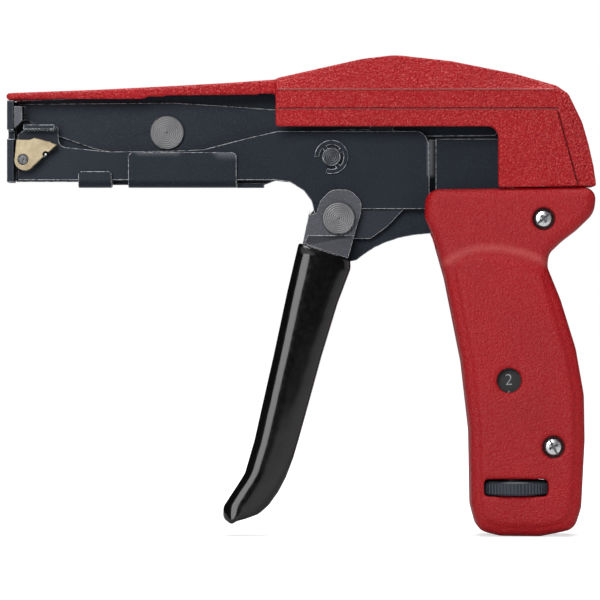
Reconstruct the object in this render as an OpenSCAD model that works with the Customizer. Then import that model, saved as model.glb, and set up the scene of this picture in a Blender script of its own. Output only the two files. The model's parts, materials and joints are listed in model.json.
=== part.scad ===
/* [Overall] */
// Length of the tool from the nose to the back of the handle
tool_length = 170; // [160:1:180]
// Thickness of the folded plates
plate = 1.2; // [1:0.1:1.3]
// Running gap between neighbouring plates
gap = 0.3; // [0.25:0.05:0.4]
// Radial running fit of a pin in its own bore
fit = 0.05; // [0.03:0.01:0.08]

/* [Cover] */
// Room between the far wall of the frame and the housing
housing_room = 1.5; // [1.3:0.1:1.7]
// Half of the width of the housing along its ridge
ridge_half = 7.6; // [7.4:0.1:8]
// Wall of the housing
housing_wall = 1.8; // [1.5:0.1:2]
// Half of the width of the strip over the nose
strip_half = 7; // [6.9:0.1:7.4]
// Wall of the strip over the nose
strip_wall = 1; // [0.8:0.1:1]

/* [Handle] */
// Half of the thickness of the handle beside the housing
handle_half = 10; // [9.8:0.1:10.2]
// Height of the raised palm over the handle's side
palm_rise = 0.8; // [0.6:0.1:1]
// Wall of the handle halves
handle_wall = 2.2; // [2:0.1:2.3]
// Radius of the rounding round the edge of the handle
handle_round = 3; // [2.6:0.1:3.2]
// Radius of the round window over the scale
window_r = 3.55; // [3:0.05:3.8]
// Radius of the screw heads
screw_head_r = 2.5; // [2.2:0.1:2.7]
// Radius of the screw shanks
screw_r = 1.5; // [1.3:0.1:1.7]

/* [Tension drive] */
// Radius of the thumbwheel
wheel_r = 11.9; // [11.6:0.1:12]
// Height of the thumbwheel
wheel_h = 4; // [3.6:0.1:4.2]
// Number of ribs on the thumbwheel
wheel_ribs = 60; // [40:2:72]
// Radius of the threaded rod
rod_r = 2; // [1.8:0.1:2.1]
// Wire of the tension spring
spring_wire = 1.6; // [1.2:0.1:1.8]
// Turns of the tension spring
spring_turns = 12; // [8:1:14]
// Pitch of the numbers on the scale
scale_pitch = 4.7; // [4:0.1:5]

/* [Pins] */
// Radius of the trigger pivot
pivot_r = 2.4; // [2.2:0.1:2.6]
// Radius of the head of the trigger pivot
pivot_head_r = 4.75; // [4.4:0.05:5]
// Radius of the cut lever's rivet
cut_rivet_r = 2.4; // [2.2:0.1:2.6]
// Radius of the head of the cut lever's rivet
cut_rivet_head_r = 4.95; // [4.6:0.05:5.1]
// Radius of the guide pin's shank
guide_r = 1.6; // [1.4:0.1:1.7]
// Radius of the fulcrum pin
fulcrum_r = 2.5; // [2.3:0.1:2.6]
// Radius of the tension lever's pin
lever_pin_r = 2; // [1.8:0.1:2.2]
// Radius of the pawl's pin
pawl_pin_r = 1.5; // [1.3:0.1:1.6]
// Thickness of the pawl along its pin
pawl_t = 5; // [4.6:0.1:5.2]

/* [Hidden] */

// The side outlines are given in pixels of the side view and brought to millimetres here
length_px = 590.3;
middle_px = 301.2;
foot_px = 536;
mm_px = tool_length / length_px;

// Overrun of a cut past the surface that it opens
over = 1;
// Steps in a rounded corner of an outline
corner_steps = 6;

function at(x_px, y_px) = [(x_px - middle_px) * mm_px, (foot_px - y_px) * mm_px];
function spot(p_px) = at(p_px.x, p_px.y);
function unit(v) = v / norm(v);

// Points of the arc that rounds corner b, which lies between a and c
function corner_arc(a, b, c, r) =
    let (u = unit(a - b), v = unit(c - b), half = acos(u * v) / 2)
    r <= 0 || half > 89 ? [b] :
    let (reach = min(r / tan(half), norm(a - b) / 2, norm(c - b) / 2),
         bend = reach * tan(half),
         mid = b + unit(u + v) * bend / sin(half),
         s = b + u * reach - mid,
         e = b + v * reach - mid,
         from = atan2(s.y, s.x),
         raw = atan2(e.y, e.x) - from,
         turn = raw > 180 ? raw - 360 : raw < -180 ? raw + 360 : raw)
    [for (i = [0 : corner_steps]) mid + bend * [cos(from + turn * i / corner_steps),
                                               sin(from + turn * i / corner_steps)]];

// Outline in millimetres from rows of [x, y, corner radius] in pixels
function outline(rows_px) =
    let (n = len(rows_px), p = [for (q = rows_px) at(q.x, q.y)])
    [for (i = [0 : n - 1])
        for (w = corner_arc(p[(i + n - 1) % n], p[i], p[(i + 1) % n], rows_px[i].z * mm_px)) w];

// Outline in millimetres from rows of [x, y, corner radius] in millimetres
function rounded(rows) =
    let (n = len(rows), p = [for (q = rows) [q.x, q.y]])
    [for (i = [0 : n - 1]) for (w = corner_arc(p[(i + n - 1) % n], p[i], p[(i + 1) % n], rows[i].z)) w];

// Twice the signed area of an outline
function turning(pts) =
    let (n = len(pts))
    [for (i = [0 : n - 1]) pts[i].x * pts[(i + 1) % n].y - pts[(i + 1) % n].x * pts[i].y]
    * [for (i = [0 : n - 1]) 1];

// The outline moved inwards by d, point by point
function inset(pts, d) =
    let (n = len(pts), way = turning(pts) > 0 ? 1 : -1)
    [for (i = [0 : n - 1])
        let (a = unit(pts[i] - pts[(i + n - 1) % n]), b = unit(pts[(i + 1) % n] - pts[i]), t = unit(a + b))
        pts[i] + way * d * [-t.y, t.x] / max(t * a, 0.5)];

// A plate of the side outline below it, between two depths
module side(y0, y1) translate([0, y1, 0]) rotate([90, 0, 0]) linear_extrude(y1 - y0) children();

// A plate cut to an outline in pixels
module plate_px(rows_px, y0, y1) side(y0, y1) polygon(outline(rows_px));

// A round pin or bore across the tool
module peg(p, r, y0, y1) translate([p.x, y1, p.y]) rotate([90, 0, 0]) cylinder(r = r, h = y1 - y0, $fn = 48);

// A round piece standing on the rod's axis
module post(p, r, z0, z1) translate([p.x, p.y, z0]) cylinder(r = r, h = z1 - z0, $fn = 48);

// A box between two corners
module block(low, high) translate(low) cube(high - low);

function bend_of(a, b, c) = (b.x - a.x) * (c.y - b.y) - (b.y - a.y) * (c.x - b.x);
function holds(a, b, c, p) = bend_of(a, b, p) >= 0 && bend_of(b, c, p) >= 0 && bend_of(c, a, p) >= 0;
hair = 0.0000001;

// Triangles that fill an outline, cut off it one corner at a time
function filled(pts, left, i = 0, done = []) =
    let (n = len(left), h = (i + n - 1) % n, j = (i + 1) % n, a = pts[left[h]], b = pts[left[i]], c = pts[left[j]])
    n < 4 ? concat(done, [left]) :
    bend_of(a, b, c) > hair
        && len([for (k = left) if (k != left[h] && k != left[i] && k != left[j] && holds(a, b, c, pts[k])) k]) == 0
        ? filled(pts, [for (k = [0 : n - 1]) if (k != i) left[k]], i % (n - 1), concat(done, [[left[h], left[i], left[j]]]))
        : filled(pts, left, (i + 1) % n, done);

// A solid through outlines of equal count, one at each depth
module loft(rings, depths) {
    n = len(rings[0]);
    rising = depths[len(depths) - 1] > depths[0];
    left = turning(rings[0]) > 0;
    points = [for (k = [0 : len(rings) - 1]) for (p = rings[k]) [p.x, depths[k], p.y]];
    walls = [for (k = [0 : len(rings) - 2]) for (i = [0 : n - 1])
        let (j = (i + 1) % n, a = k * n + i, b = k * n + j, c = a + n, d = b + n)
        each left == rising ? [[a, b, d], [a, d, c]] : [[a, d, b], [a, c, d]]];
    way = [for (i = [0 : n - 1]) left ? i : n - 1 - i];
    top = (len(rings) - 1) * n;
    first = [for (t = filled(rings[0], way)) rising ? [t[2], t[1], t[0]] : t];
    last = [for (t = filled(rings[len(rings) - 1], way))
        rising ? [top + t[0], top + t[1], top + t[2]] : [top + t[2], top + t[1], top + t[0]]];
    polyhedron(points, concat(walls, first, last));
}

// Depth and inset of each step of a quarter round
round_steps = 4;
function round_depth(r, i) = r * (1 - cos(90 * i / round_steps));
function round_inset(r, i) = r * (1 - sin(90 * i / round_steps));

// A solid of one outline whose edge is rounded at the first depth and square at the last
module pillow_half(pts, y_face, y_back, r) {
    way = y_back > y_face ? 1 : -1;
    loft(concat([for (i = [0 : round_steps]) inset(pts, round_inset(r, i))], [pts]),
        concat([for (i = [0 : round_steps]) y_face + way * round_depth(r, i)], [y_back]));
}

// A wire of six sides along a path
module wire(path, r) {
    sides = 6;
    n = len(path);
    rings = [for (i = [0 : n - 1])
        let (d = unit(path[min(i + 1, n - 1)] - path[max(i - 1, 0)]),
             up = abs(d.z) < 0.9 ? [0, 0, 1] : [1, 0, 0],
             u = unit(cross(d, up)), v = cross(d, u))
        each [for (k = [0 : sides - 1]) path[i] + r * (cos(360 * k / sides) * u + sin(360 * k / sides) * v)]];
    walls = [for (i = [0 : n - 2]) for (k = [0 : sides - 1])
        let (m = (k + 1) % sides, a = i * sides + k, b = i * sides + m, c = a + sides, e = b + sides)
        each [[a, e, b], [a, c, e]]];
    polyhedron(rings, concat(walls, [[for (k = [0 : sides - 1]) k],
        [for (k = [0 : sides - 1]) n * sides - 1 - k]]));
}

// Depths of the four plate layers, from the near side to the far side
layer = plate + gap;
carriage_y = 0;
inner_y = layer;
cut_y = 2 * layer;
wall_y = 3 * layer;
wall_back = wall_y + plate;
housing_half = wall_back + housing_room + housing_wall;
palm_half = handle_half + palm_rise;
handle_inner = handle_half - handle_wall;

// Places of the pivots and pins
pivot_px = [338.8, 218.2];
guide_px = [331.5, 156.4];
cut_rivet_px = [166.1, 131.6];
fulcrum_px = [364.7, 112];
lever_px = [425.2, 81.2];
pawl_px = [23, 159.4];
rod_px = [515.1, 0];
screw_1_px = [542.8, 219];
screw_2_px = [552.4, 446.3];
window_px = [508.3, 380.2];
pivot_at = spot(pivot_px);
guide_at = spot(guide_px);
cut_rivet_at = spot(cut_rivet_px);
fulcrum_at = spot(fulcrum_px);
lever_at = spot(lever_px);
pawl_at = spot(pawl_px);
rod_x = spot(rod_px).x;
screw_1_at = spot(screw_1_px);
screw_2_at = spot(screw_2_px);
window_at = spot(window_px);

// Travel of the sliding pieces
carriage_travel = 14.8;
cap_travel = 7.8;
blade_travel = 3.6;

// Frame
frame_bend = 0.8;
tab_round = 1.3;
cheek_y = -wall_back;
web_t = plate;
slot_clear = 0.15;
wall_rows_px = [[13.6, 99.6, 2], [95, 95.5, 0], [172, 92.2, 0], [275, 86.3, 0], [317, 78.5, 0], [361, 69.6, 0],
    [395, 66.6, 0], [425, 67.6, 0], [480, 76, 0], [552, 95, 6], [552, 236, 4], [430, 233, 0], [414, 234.6, 0],
    [399, 237.7, 0], [386, 242, 0], [374, 247.7, 0], [364, 254.4, 0], [356.7, 260, 0], [346, 262, 3],
    [331, 249, 8], [322, 225, 20], [316, 203, 12], [306, 190.5, 8], [290, 181.4, 6], [275.5, 179.8, 0],
    [264, 184, 3], [236, 184, 0], [77.5, 184, 0], [77.5, 181, 0], [13.6, 181, 2]];
cheek_rows_px = [[408, 70.5, 10], [432, 70.5, 6], [480, 77, 0], [552, 96, 6], [552, 122, 0], [452, 122, 8],
    [440, 100, 10], [408, 95, 10]];
tab_rows_px = [[[77.5, 170.8, 4], [111, 170.8, 4], [111, 190, 0], [77.5, 190, 0]],
    [[127.6, 151.7, 5], [236.3, 151.7, 5], [236.3, 190, 0], [127.6, 190, 0]]];
web_ends_px = [[77.5, 111], [127.6, 264]];
web_foot_px = 187;
tab_y = -plate - gap;

// The folded section under the carriage, from the far wall to the near tab
module fold(x0, x1, z_near) {
    z0 = at(0, web_foot_px).y;
    z_far = z0 + 2 * plate + frame_bend;
    outer = frame_bend + plate;
    translate([x0, 0, 0]) rotate([90, 0, 90]) linear_extrude(x1 - x0)
        polygon(rounded([[wall_back, z_far, 0], [wall_back, z0, outer], [tab_y, z0, outer], [tab_y, z_near, 0],
            [tab_y + plate, z_near, 0], [tab_y + plate, z0 + plate, frame_bend],
            [wall_y, z0 + plate, frame_bend], [wall_y, z_far, 0]]));
}

module frame() color([0.17, 0.2, 0.24]) difference() {
    union() {
        plate_px(wall_rows_px, wall_y, wall_back);
        for (i = [0, 1]) {
            x0 = at(web_ends_px[i].x, 0).x;
            x1 = at(web_ends_px[i].y, 0).x;
            near_x1 = at(tab_rows_px[i][1].x, 0).x;
            intersection() {
                fold(x0, near_x1, at(0, tab_rows_px[i][0].y).y);
                union() {
                    plate_px(tab_rows_px[i], tab_y - over, tab_y + plate);
                    block([x0, tab_y + plate, 0], [near_x1, wall_back + over, tool_length]);
                }
            }
            if (x1 > near_x1)
                block([near_x1, wall_y - plate, at(0, web_foot_px).y],
                    [x1, wall_back, at(0, web_foot_px).y + plate]);
        }
        plate_px(cheek_rows_px, cheek_y, cheek_y + plate);
        block([at(552, 0).x - web_t, cheek_y, at(0, 122).y], [at(552, 0).x, wall_back, at(0, 102).y]);
    }
    // Slot of the guide pin
    round_slot(guide_at, carriage_travel, guide_r + slot_clear, wall_y - over, wall_back + over);
    // Bores of the fixed pins
    peg(cut_rivet_at, cut_rivet_r, wall_y - over, wall_back + over);
    peg(lever_at, lever_pin_r, cheek_y - over, wall_back + over);
    peg(spring_fixed_at, post_r, wall_y - over, wall_back + over);
    peg(screw_1_at, screw_r + slot_clear, wall_y - over, wall_back + over);
    for (p = cover_rivets_at) peg(p, cover_rivet_r, wall_y - over, wall_back + over);
}

// A straight slot that runs right from p, with round ends
module round_slot(p, run, r, y0, y1) {
    peg(p, r, y0, y1);
    peg([p.x + run, p.y], r, y0, y1);
    block([p.x, y0, p.y - r], [p.x + run, y1, p.y + r]);
}

// Nose plate with the slot that the tie lies in
nose_rows_px = [[7.1, 100.4, 0], [13.4, 100.4, 0], [13.4, 182, 0], [7.1, 182, 0]];
nose_near = wall_back;
tie_slot_top_px = 130;
tie_slot_foot_px = 139;
tie_slot_depth = 5.4;
nose_front_px = 7.1;
nose_back_px = 13.4;

module nose_plate() color([0.25, 0.28, 0.32]) difference() {
    plate_px(nose_rows_px, -nose_near, wall_back);
    block([at(nose_front_px, 0).x - over, -nose_near - over, at(0, tie_slot_foot_px).y],
        [at(nose_back_px, 0).x + over, -nose_near + tie_slot_depth, at(0, tie_slot_top_px).y]);
}

// Red cover: the outline of the housing, its crease lines and its hollow
housing_rows_px = [[275.5, 126.8, 3], [275.5, 78.6, 3], [317, 69.2, 0], [361.6, 59.2, 30], [395, 55.2, 60],
    [451, 61.4, 0], [515.7, 74.3, 0], [556, 85.8, 14], [568, 94, 8], [581.8, 122.5, 0], [588, 144, 0],
    [593, 166, 0], [596, 186.5, 0], [497.5, 187.8, 0], [497.5, 126.8, 10.5]];
hollow_rows_px = [[270, 86, 0], [317, 75.8, 0], [361.6, 65.8, 20], [395, 62.4, 60], [451, 68, 0], [515, 80.6, 0],
    [550, 90.6, 10], [562, 99, 8], [575, 126, 0], [581, 146, 0], [586, 168, 0], [589.2, 196, 0],
    [270, 196, 0]];
low_hollow_rows_px = [[270, 96, 0], [556, 96, 6], [568, 140, 0], [578, 196, 0], [270, 196, 0]];
ridge_wall = 1.5;
crease_px = 89.8;
rear_crease_px = [[557.7, 112.7], [577.3, 185]];
strip_rows_px = [[5.6, 97, 4], [8, 93.2, 3], [40, 92, 0], [95.7, 89.9, 0], [172, 86.1, 0], [230, 82.8, 0],
    [280, 79.2, 0], [280, 94.6, 0], [151, 97, 3], [141, 100.2, 3], [8, 100.2, 3]];
strip_hollow_rows_px = [[9.6, 97, 0], [95.7, 93.6, 0], [172, 89.8, 0], [230, 86.5, 0], [290, 82.4, 0],
    [290, 104, 0], [9.6, 104, 0]];
strip_round = 0.6;

crease_share = 0.05;

// A value held below a limit, past which it grows at a small share
function held(v, limit) = v <= limit ? v : limit + (v - limit) * crease_share;

// A point of the housing drawn in to the crease lines of its side face
function creased(p) =
    let (a = at(rear_crease_px[0].x, rear_crease_px[0].y), b = at(rear_crease_px[1].x, rear_crease_px[1].y),
         z = held(p.y, at(0, crease_px).y))
    [held(p.x, a.x + (b.x - a.x) * (z - a.y) / (b.y - a.y)), z];

module creased_body(pts, face, edge)
    loft([[for (p = pts) creased(p)], pts, pts, [for (p = pts) creased(p)]], [-face, -edge, edge, face]);

module top_cover() color([0.72, 0.05, 0.1]) difference() {
    union() {
        creased_body(outline(housing_rows_px), housing_half, ridge_half);
        loft([inset(outline(strip_rows_px), strip_round), outline(strip_rows_px), outline(strip_rows_px),
              inset(outline(strip_rows_px), strip_round)],
            [-strip_half, strip_round - strip_half, strip_half - strip_round, strip_half]);
    }
    plate_px(hollow_rows_px, ridge_wall - ridge_half, ridge_half - ridge_wall);
    plate_px(low_hollow_rows_px, housing_wall - housing_half, housing_half - housing_wall);
    plate_px(strip_hollow_rows_px, strip_wall - strip_half, strip_half - strip_wall);
    for (p = cover_rivets_at) peg(p, cover_rivet_r, 0, housing_half + over);
}

// Rivets that hold the cover to the far wall
cover_rivet_r = 1.4;
cover_rivet_head_r = 2.6;
cover_rivet_head = 0.8;
cover_rivets_px = [[300, 112], [530, 130]];
cover_rivets_at = [for (p = cover_rivets_px) spot(p)];

module cover_rivets() color([0.5, 0.5, 0.52]) for (p = cover_rivets_at) {
    peg(p, cover_rivet_r, wall_y - gap, housing_half);
    peg(p, cover_rivet_head_r, housing_half, housing_half + cover_rivet_head);
    peg(p, cover_rivet_head_r, wall_back, housing_half - housing_wall);
}

// Handle halves
handle_rows_px = [[424.6, 189.3, 18], [596.6, 187, 13], [593.6, 213.5, 22], [575.4, 231, 16],
    [561.4, 241.7, 14], [548.4, 254, 12], [547, 267, 12], [560, 299, 20], [575.4, 348.4, 30],
    [583.6, 395, 40], [584.4, 440, 30], [581, 507, 16], [574, 529, 15], [540, 536, 18], [500, 535.6, 18],
    [477.5, 530, 15], [470.7, 505, 16], [469.5, 431, 30], [461.7, 362.4, 30], [444.9, 278.2, 20],
    [433.7, 238.9, 16], [424.2, 218, 12]];
palm_rows_px = [[457, 263, 8], [484.2, 257, 20], [522, 265.6, 16], [541, 276, 8], [549, 303, 20], [564.2, 351, 30],
    [572.2, 396.5, 40], [573, 440, 30], [569.6, 503, 14], [564, 519.4, 10], [540, 524.6, 12], [501, 524.2, 14],
    [485, 520, 10], [482, 503, 10], [480.8, 430.4, 30], [473, 360.4, 30], [456.2, 276.2, 12]];
bay_rows_px = [[420, 180, 0], [588, 180, 0], [588, 200, 4], [570, 224, 6], [556, 236, 6], [548, 246, 6],
    [420, 246, 0]];
bay_room = 0.6;
bay_half = wall_back + bay_room;
spring_bay_rows_px = [[440, 236, 0], [546, 236, 0], [540, 270, 8], [552, 302, 16], [567, 350, 20], [575, 396, 30],
    [576.4, 440, 20], [573.4, 506, 8], [566, 524, 8], [540, 528.6, 8], [500, 528, 6], [484, 524, 6], [478.6, 504, 8],
    [477.2, 431, 30], [469.5, 362.4, 30], [452.8, 278.2, 20]];
boss_r = 3.1;
wheel_slot_px = [[483.2, 478.5], [547.2, 495.6]];
wheel_slot_round = 1;
wheel_pocket = 0.3;
screw_recess_r = 3.35;
screw_recess = 1.4;

function boss_back(s) = s < 0 ? wall_y - slot_clear : wall_back + slot_clear;

// One half of the handle: s is -1 for the near half and 1 for the far half
module grip(s) difference() {
    union() {
        difference() {
            union() {
                pillow_half(outline(handle_rows_px), s * handle_half, 0, handle_round);
                half_cut_from(palm_rows_px, handle_inner + handle_wall / 2, palm_half, s);
            }
            half_cut(bay_rows_px, bay_half, s);
            half_cut(spring_bay_rows_px, handle_inner, s);
        }
        half_peg(screw_1_at, boss_r, boss_back(s) * s, handle_inner + handle_wall / 2, s);
        half_peg(screw_2_at, boss_r, 0, handle_inner + handle_wall / 2, s);
        carriers(s);
    }
    for (p = [screw_1_at, screw_2_at]) {
        peg(p, screw_r + fit, -palm_half - over, palm_half + over);
        half_peg(p, screw_recess_r, (p == screw_1_at ? handle_half : palm_half) - screw_recess, palm_half + over, s);
    }
    wheel_slot(s);
    if (s < 0) half_peg(window_at, window_r, handle_inner - over, palm_half + over, s);
}

// Ledges below the ends of the spring seat, and the shelf that carries the hub of the thumbwheel
module carriers(s) {
    deep = handle_inner + handle_wall / 2;
    ends = [[seat_x.x - ledge_root, seat_x.x + ledge_w], [seat_x.y - ledge_w, seat_x.y + ledge_root]];
    for (x = ends) half_block([x.x, wheel_z + wheel_h + wheel_pocket + fit], [x.y, seat_z - fit], deep, s);
    shelf_z = wheel_z - wheel_pocket - fit;
    difference() {
        half_block([seat_x.x - ledge_root, shelf_z - shelf_h], [seat_x.y + ledge_root, shelf_z], deep, s);
        post(rod_at, hub_wheel_r + fit, shelf_z - shelf_h - over, shelf_z + over);
    }
}

// A cut, a peg or a block on one side of the split plane
module half_block(low, high, depth, s)
    block([low.x, s < 0 ? -depth : 0, low.y], [high.x, s < 0 ? 0 : depth, high.y]);
module half_cut(rows_px, depth, s) plate_px(rows_px, s < 0 ? -depth : -over, s < 0 ? over : depth);
module half_cut_from(rows_px, from, to, s) plate_px(rows_px, s < 0 ? -to : from, s < 0 ? -from : to);
module half_peg(p, r, from, to, s) peg(p, r, s < 0 ? -to : from, s < 0 ? -from : to);

// Window of the thumbwheel and the round pocket that it turns in
module wheel_slot(s) {
    a = at(wheel_slot_px[0].x, wheel_slot_px[0].y);
    b = at(wheel_slot_px[1].x, wheel_slot_px[1].y);
    y0 = s < 0 ? -palm_half - over : 0;
    side(y0, y0 + palm_half + over) polygon(rounded([[a.x, b.y, wheel_slot_round], [b.x, b.y, wheel_slot_round],
        [b.x, a.y, wheel_slot_round], [a.x, a.y, wheel_slot_round]]));
    post([rod_x, 0], wheel_r + wheel_pocket, wheel_z - wheel_pocket, wheel_z + wheel_h + wheel_pocket);
}

module grip_near() color([0.68, 0.06, 0.1]) grip(-1);
module grip_far() color([0.68, 0.06, 0.1]) grip(1);

// Screws of the handle, with a cross and one long slot in each head
screw_head = 1;
screw_cross = 0.5;
screw_slot_w = 0.6;
screw_slots_turn = [80, 5];

module grip_screws() color([0.75, 0.76, 0.78]) for (i = [0, 1]) {
    p = [screw_1_at, screw_2_at][i];
    face = (i == 0 ? handle_half : palm_half) - screw_recess + screw_head;
    tail = (i == 0 ? handle_half : palm_half) - screw_recess;
    difference() {
        union() {
            peg(p, screw_head_r, -face, screw_head - face);
            peg(p, screw_r, screw_head - face, tail);
            peg(p, screw_head_r, tail, tail + screw_head);
        }
        translate([p.x, -face, p.y]) rotate([0, screw_slots_turn[i], 0]) {
            block([-screw_head_r - over, -over, -screw_slot_w / 2], [screw_head_r + over, screw_cross, screw_slot_w / 2]);
            block([-screw_slot_w / 2, -over, -screw_head_r / 2], [screw_slot_w / 2, screw_cross, screw_head_r / 2]);
        }
    }
}

// Points of n saw teeth from a to b, standing out by depth on the left of the way
function teeth(a, b, n, depth) =
    let (step = (b - a) / n, out = [-(b - a).y, (b - a).x] / norm(b - a) * depth)
    [for (i = [0 : n - 1]) each [a + step * i, a + step * (i + 0.35) + out]];

// Carriage: the long sliding plate
carriage_rows_px = [[16.4, 179.5, 0], [16.4, 134, 0], [22.9, 129, 0], [22.9, 124.6, 0], [57, 124.6, 4],
    [58.1, 146, 8], [110, 151, 0], [172, 150.2, 0], [202.8, 148.8, 10], [246.8, 137.4, 0], [277.4, 130.4, 10],
    [424, 130.4, 16], [430, 144, 6], [430, 208.5, 0], [352, 208.5, 0], [355.8, 220, 8], [348, 236, 12],
    [330, 236, 12], [321, 222, 8], [314.6, 213.7, 0], [311.8, 201, 8], [304, 190.5, 8], [290, 181.4, 6],
    [275.5, 179.5, 0]];
joggle_px = [429.4, 436.6];
joggle_rise_px = 139;
rear_rows_px = [[436.6, 137.7, 1], [506, 137.7, 4], [506, 200, 4], [450, 200, 6], [443, 208.5, 0], [436.6, 208.5, 0]];
anvil_px = [23.3, 54.4];
anvil_top_px = 124.6;
anvil_t = 1.25;
anvil_tooth = 0.3;
anvil_teeth = 10;
lug_at = at(120.5, 168.4);
lug_r = 0.9;
spring_line_y = cut_y - gap / 2;

module carriage() color([0.17, 0.2, 0.25]) difference() {
    a = at(anvil_px.x, anvil_top_px);
    b = at(anvil_px.y, anvil_top_px);
    union() {
        plate_px(carriage_rows_px, carriage_y, carriage_y + plate);
        // The step back to the rear part
        translate([0, 0, at(0, 208.5).y]) linear_extrude(at(0, joggle_rise_px).y - at(0, 208.5).y)
            polygon([[at(joggle_px.x, 0).x, carriage_y], [at(joggle_px.y, 0).x, cut_y],
                [at(joggle_px.y, 0).x, cut_y + plate], [at(joggle_px.x, 0).x, carriage_y + plate]]);
        plate_px(rear_rows_px, cut_y, cut_y + plate);
        // The anvil folded towards the near side, with its teeth below
        side(-pawl_t - gap, carriage_y + plate) polygon(concat(
            [[b.x, b.y], [a.x, a.y]], teeth([a.x, a.y - anvil_t], [b.x, b.y - anvil_t], anvil_teeth, -anvil_tooth),
            [[b.x, b.y - anvil_t]]));
        peg(lug_at, lug_r, carriage_y, spring_line_y + spring_coil_r);
    }
    peg(pivot_at, pivot_r + fit, carriage_y - over, carriage_y + plate + over);
    peg(guide_at, guide_groove_r, carriage_y - over, carriage_y + plate + over);
    peg(pawl_at, pawl_pin_r, carriage_y - over, carriage_y + plate + over);
}

// Pawl that pinches the tie against the anvil
pawl_rows_px = [[16.4, 139.6], [29, 139.9], [33.8, 138.4]];
pawl_corner_px = [56.5, 144.6];
pawl_teeth_from_px = [33.8, 138.4];
pawl_teeth_to_px = [51.5, 143];
pawl_teeth = 8;
pawl_tooth = 0.35;
pawl_foot_px = [24.5, 160];
pawl_foot_r = 2.95;
pawl_hole_at = at(45.6, 154.3);
pawl_hole_r = 0.9;
pawl_recess_r = 3;
pawl_recess = 2;
pawl_heel_turn = 47;
pawl_heel_share = 0.98;

module gripper_pawl() color([0.66, 0.58, 0.42]) difference() {
    foot = at(pawl_foot_px.x, pawl_foot_px.y);
    corner = at(pawl_corner_px.x, pawl_corner_px.y);
    union() {
        side(-pawl_t - gap, -gap) polygon(concat(
            [for (q = [0, 1]) at(pawl_rows_px[q].x, pawl_rows_px[q].y)],
            teeth(at(pawl_teeth_from_px.x, pawl_teeth_from_px.y), at(pawl_teeth_to_px.x, pawl_teeth_to_px.y),
                pawl_teeth, pawl_tooth),
            [at(pawl_teeth_to_px.x, pawl_teeth_to_px.y), corner,
             foot + pawl_foot_r * [sin(pawl_heel_turn), -cos(pawl_heel_turn)] * pawl_heel_share,
             foot - [pawl_foot_r * pawl_heel_share, 0]]));
        peg(foot, pawl_foot_r, -pawl_t - gap, -gap);
    }
    peg(pawl_at, pawl_pin_r + fit, -pawl_t - gap - over, over);
    peg(pawl_at, pawl_recess_r, -gap - pawl_recess, over);
    peg(pawl_hole_at, pawl_hole_r, -pawl_t - gap - over, over);
    side(-gap - pawl_recess, over) polygon([pawl_at - [0, pawl_recess_r - gap], pawl_hole_at - [0, pawl_hole_r],
        pawl_hole_at + [0, pawl_hole_r], pawl_at + [0, pawl_hole_r]]);
}

pawl_wire_r = 0.3;

module pawl_spring() color([0.8, 0.8, 0.82]) {
    coil_r = (pawl_pin_r + pawl_recess_r) / 2 - pawl_wire_r / 3;
    y_far = -gap - pawl_wire_r * 1.5;
    lead = pawl_wire_r * 2.6;
    steps = 12;
    turns = 1.5;
    end = atan2((pawl_hole_at - pawl_at).y, (pawl_hole_at - pawl_at).x);
    y_near = y_far - lead * turns * 0.75;
    wire(concat(
        [for (i = [0 : steps * turns]) let (w = end + 90 + 360 * i / steps)
            [pawl_at.x + coil_r * cos(w), y_far + (y_near - y_far) * i / (steps * turns), pawl_at.y + coil_r * sin(w)]],
        [[pawl_hole_at.x, y_near, pawl_hole_at.y], [pawl_hole_at.x, -pawl_t - gap + pawl_wire_r, pawl_hole_at.y]]),
        pawl_wire_r);
}

module pawl_pin() color([0.45, 0.46, 0.5])
    peg(pawl_at, pawl_pin_r, -pawl_t - gap - plate / 4, carriage_y + plate);

// Stepped guide pin with its clip
guide_near_r = 2.6;
guide_groove_r = 1.9;
guide_head_r = 3.4;
clip_t = 0.6;
clip_r = 4.9;
clip_band = 1.4;
clip_open = 70;
clip_turn = 215;

module guide_pin() color([0.42, 0.43, 0.45]) {
    peg(guide_at, guide_near_r, -gap - clip_t * 3, -gap - clip_t);
    peg(guide_at, guide_groove_r, -gap - clip_t, carriage_y + plate);
    peg(guide_at, guide_r, carriage_y + plate, wall_back + gap);
    peg(guide_at, guide_head_r, wall_back + gap, wall_back + gap + plate * 0.8);
}

module e_clip() color([0.3, 0.31, 0.33]) translate([guide_at.x, 0, guide_at.y]) difference() {
    union() {
        difference() {
            peg([0, 0], clip_r, -gap - clip_t, -gap);
            peg([0, 0], clip_r - clip_band, -gap - clip_t - over, over);
        }
        for (w = [-90, 0, 90]) rotate([0, -clip_turn - 180 - w, 0])
            block([guide_groove_r, -gap - clip_t, -clip_band / 2], [clip_r - clip_band / 2, -gap, clip_band / 2]);
    }
    side(-gap - clip_t - over, over) polygon([[0, 0],
        for (w = [-0.5, 0, 0.5]) clip_r * 2 * [cos(clip_turn + w * clip_open), sin(clip_turn + w * clip_open)]]);
    peg([0, 0], guide_groove_r, -gap - clip_t - over, over);
}

// Return spring of the carriage and its fixed post
spring_fixed_at = at(40, 168.4);
post_r = 0.9;
spring_coil_r = 1.1;
return_wire_r = 0.25;
return_turns = 16;

module spring_post() color([0.45, 0.46, 0.5]) {
    peg(spring_fixed_at, post_r, spring_line_y - spring_coil_r, wall_back);
    peg(spring_fixed_at, post_r * 1.6, wall_back, wall_back + plate / 2);
}

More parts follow.
